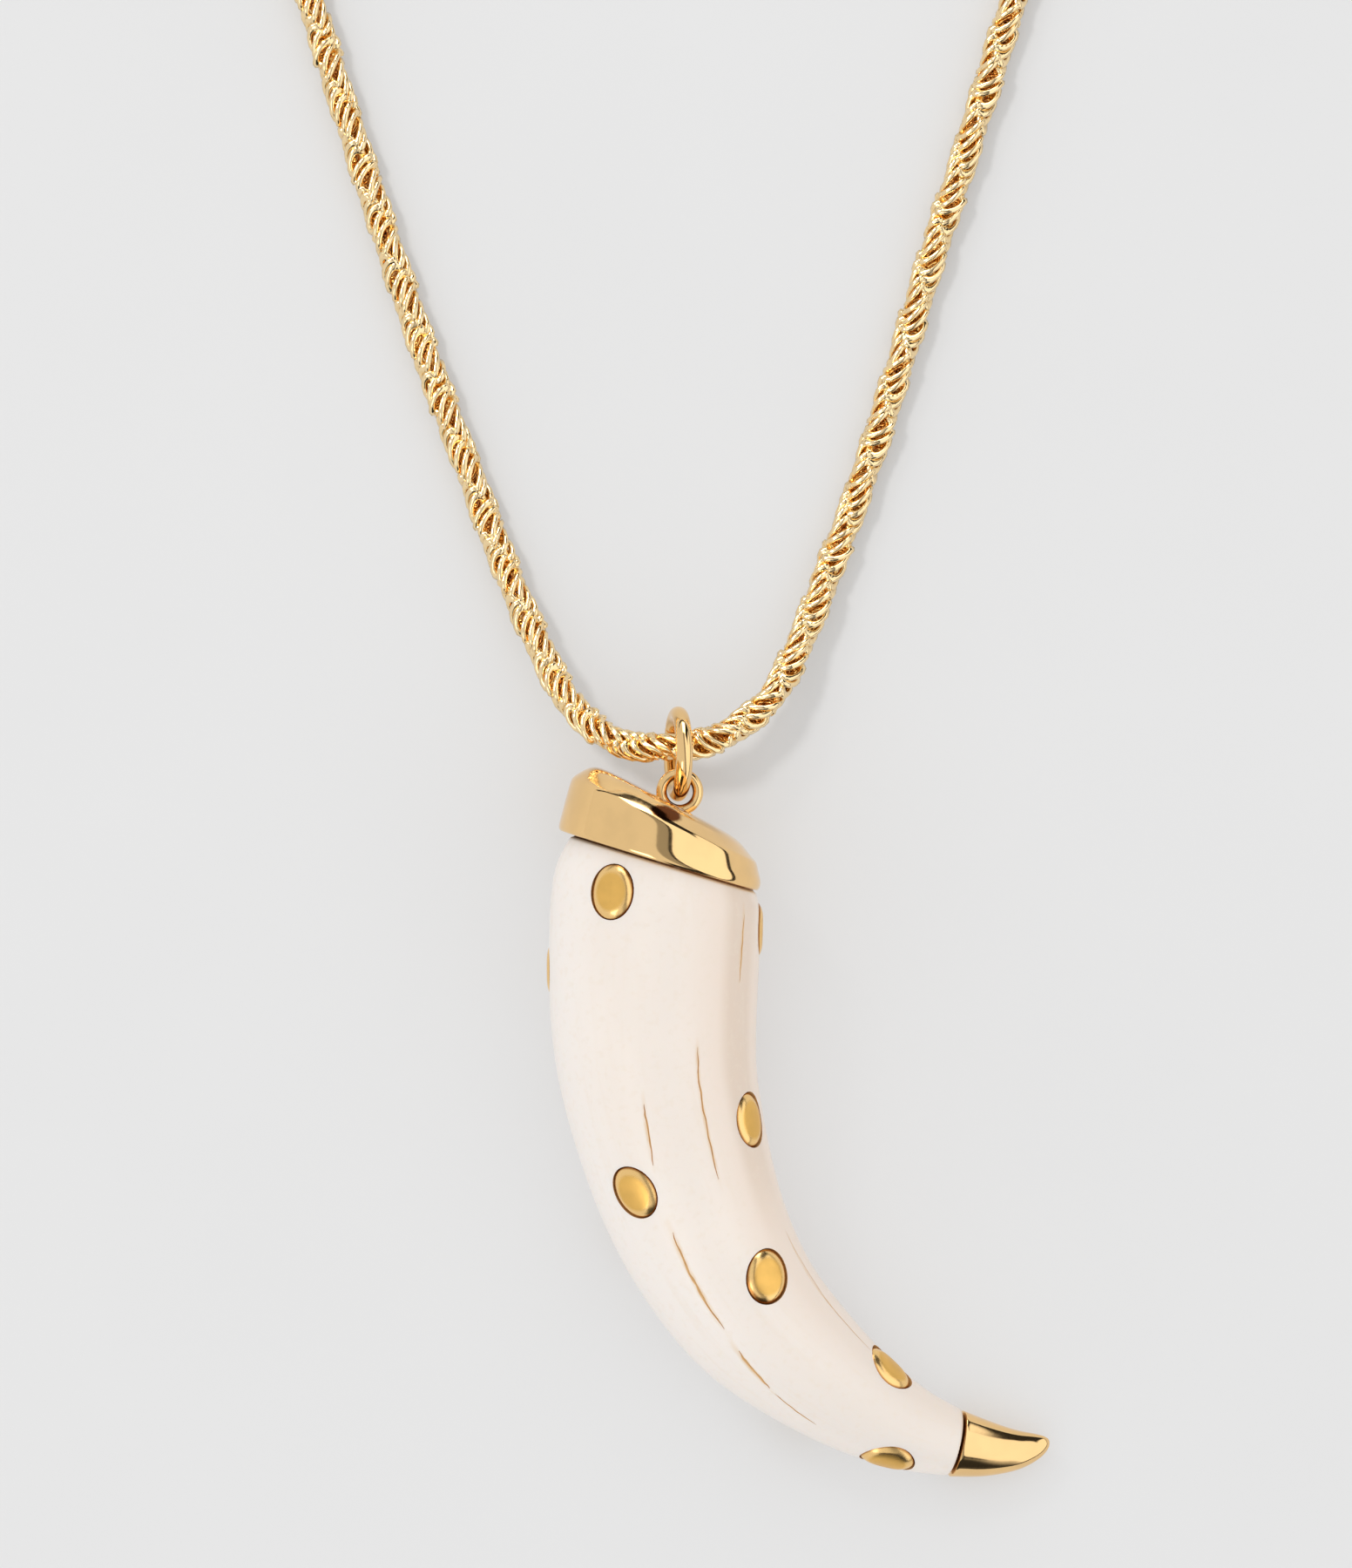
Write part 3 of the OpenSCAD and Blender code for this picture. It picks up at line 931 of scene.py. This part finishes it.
# Floor, light and camera
studio = {
    "floorSize": 40,        # in metres
    "floorAt": -0.02,       # its height in mm, a hair under the necklace
    "camera": (1.235, -92.495, 773), "lens": 180, "sensor": 36,
    "lightsRound": (0, -0.1, 0), "lightFar": 3.0,       # in metres
    "keyFrom": (-0.5, 0.6, 0.62), "keySize": 0.5, "keyPower": 5,
    "shadowFrom": (-0.42, 0.38, 0.85), "shadowSize": 0.5, "shadowPower": 32,
    "sparkleAt": ((38, 40), (74, 34)), "sparkleSize": 1.0, "sparklePower": 30,
    "even": 0.98,           # brightness of the dome for matt surfaces
    "tent": 0.8, "right": 1.22, "left": 0.8, "strip": 0.35, "window": 4.0, "dark": 0.03,
}


def addFloor():
    nothingSelected()
    bpy.ops.mesh.primitive_plane_add(size=studio["floorSize"], location=(0, 0, studio["floorAt"] * mm))
    floor = bpy.context.object
    floor.name = "floor"
    given(floor, floorLook)
    return floor


def addDiskLight(towards, size, power):        # a round light that is not seen itself
    nothingSelected()
    away = towards * studio["lightFar"]
    bpy.ops.object.light_add(type="AREA", location=Vector(studio["lightsRound"]) + away)
    light = bpy.context.object
    light.rotation_euler = towards.to_track_quat("Z", "Y").to_euler()
    light.data.shape = "DISK"
    light.data.size = size
    light.data.energy = power
    light.visible_camera = False
    return light


def addKeyLight():
    towards = Vector(studio["keyFrom"]).normalized()
    light = addDiskLight(towards, studio["keySize"], studio["keyPower"])
    light.visible_glossy = False


def addRopeShadow(floor):        # deepens the rope's own shadow on the floor
    towards = Vector(studio["shadowFrom"]).normalized()
    light = addDiskLight(towards, studio["shadowSize"], studio["shadowPower"])
    light.visible_glossy = False
    floorGroup = bpy.data.collections.new("floorOnly")
    floorGroup.objects.link(floor)
    light.light_linking.receiver_collection = floorGroup
    light.light_linking.blocker_collection = ropeGroup


def addSparkle(azimuth, elevation):        # lights only the chain
    a, e = math.radians(azimuth), math.radians(elevation)
    towards = Vector((-math.sin(a) * math.cos(e), math.cos(a) * math.cos(e), math.sin(e)))
    light = addDiskLight(towards, studio["sparkleSize"], studio["sparklePower"])
    light.light_linking.receiver_collection = ropeGroup


# An even dome for matt surfaces and, for reflections, a tent with bright and dark parts
def addTent():
    world = bpy.data.worlds.new("tent")
    bpy.context.scene.world = world
    world.use_nodes = True
    tent = Paint(world.node_tree)
    background = world.node_tree.nodes["Background"]
    direction = tent.out(tent.node("ShaderNodeTexCoord"), "Generated")
    split = tent.node("ShaderNodeSeparateXYZ", None, {0: direction})
    x = tent.out(split, "X")
    y = tent.out(split, "Y")
    z = tent.out(split, "Z")
    across = x + 0.3 * y
    near = z.rise(0.5, 0.6)
    right = across.rise(0.3, 0.32)
    strip = across.rise(0.02, 0.05) * across.rise(0.25, 0.24) * near
    line = across.rise(0.24, 0.25) * across.rise(0.32, 0.31) * near
    window = x.rise(-0.2, -0.14) * x.rise(0.32, 0.28) * y.rise(0.2, 0.3)
    window = window * z.rise(0.1, 0.12) * z.rise(0.62, 0.56)
    lowWindow = x.rise(-0.24, -0.3) * x.rise(-0.6, -0.54) * y.rise(-0.28, -0.34) * z.rise(0.6, 0.66)
    window = window.maths("MAXIMUM", window, lowWindow * 0.6)
    left = x.rise(-0.86, -0.9) * z.rise(0.04, 0.08) * z.rise(0.42, 0.36)
    behind = x.rise(0.3, 0.33) * x.rise(0.75, 0.7) * y.rise(0.2, 0.3) * z.rise(0.66, 0.6)
    lowLeft = x.rise(-0.25, -0.32) * y.rise(-0.3, -0.4)
    horizon = z.rise(0.12, 0.09) * x.rise(-0.8, -0.72) * (1 - lowLeft)
    viewer = y.rise(-0.42, -0.5) * z.rise(0.66, 0.61) * z.rise(0.06, 0.12)
    viewer = viewer * x.rise(-0.22, -0.12) * x.rise(0.55, 0.42)
    dark = line
    for part in (behind, horizon, viewer):
        dark = dark.maths("MAXIMUM", dark, part)
    light = (studio["tent"],) * 3
    parts = {"right": right, "strip": strip, "left": left, "dark": dark, "window": window}
    for name, part in parts.items():
        light = tent.mixed(part, light, (studio[name],) * 3)
    mirrored = tent.out(tent.node("ShaderNodeLightPath"), "Is Glossy Ray")
    colour = tent.mixed(mirrored, (studio["even"],) * 3, light)
    world.node_tree.links.new(colour.socket, background.inputs["Color"])
    background.inputs["Strength"].default_value = 1.0


def addCamera():
    nothingSelected()
    bpy.ops.object.camera_add(location=Vector(studio["camera"]) * mm, rotation=(0, 0, 0))
    camera = bpy.context.object
    camera.data.lens = studio["lens"]
    camera.data.sensor_width = studio["sensor"]
    camera.data.clip_start = 0.01
    bpy.context.scene.camera = camera
    bpy.context.scene.view_settings.view_transform = "Standard"


floor = addFloor()
addKeyLight()
addRopeShadow(floor)
for azimuth, elevation in studio["sparkleAt"]:
    addSparkle(azimuth, elevation)
addTent()
addCamera()
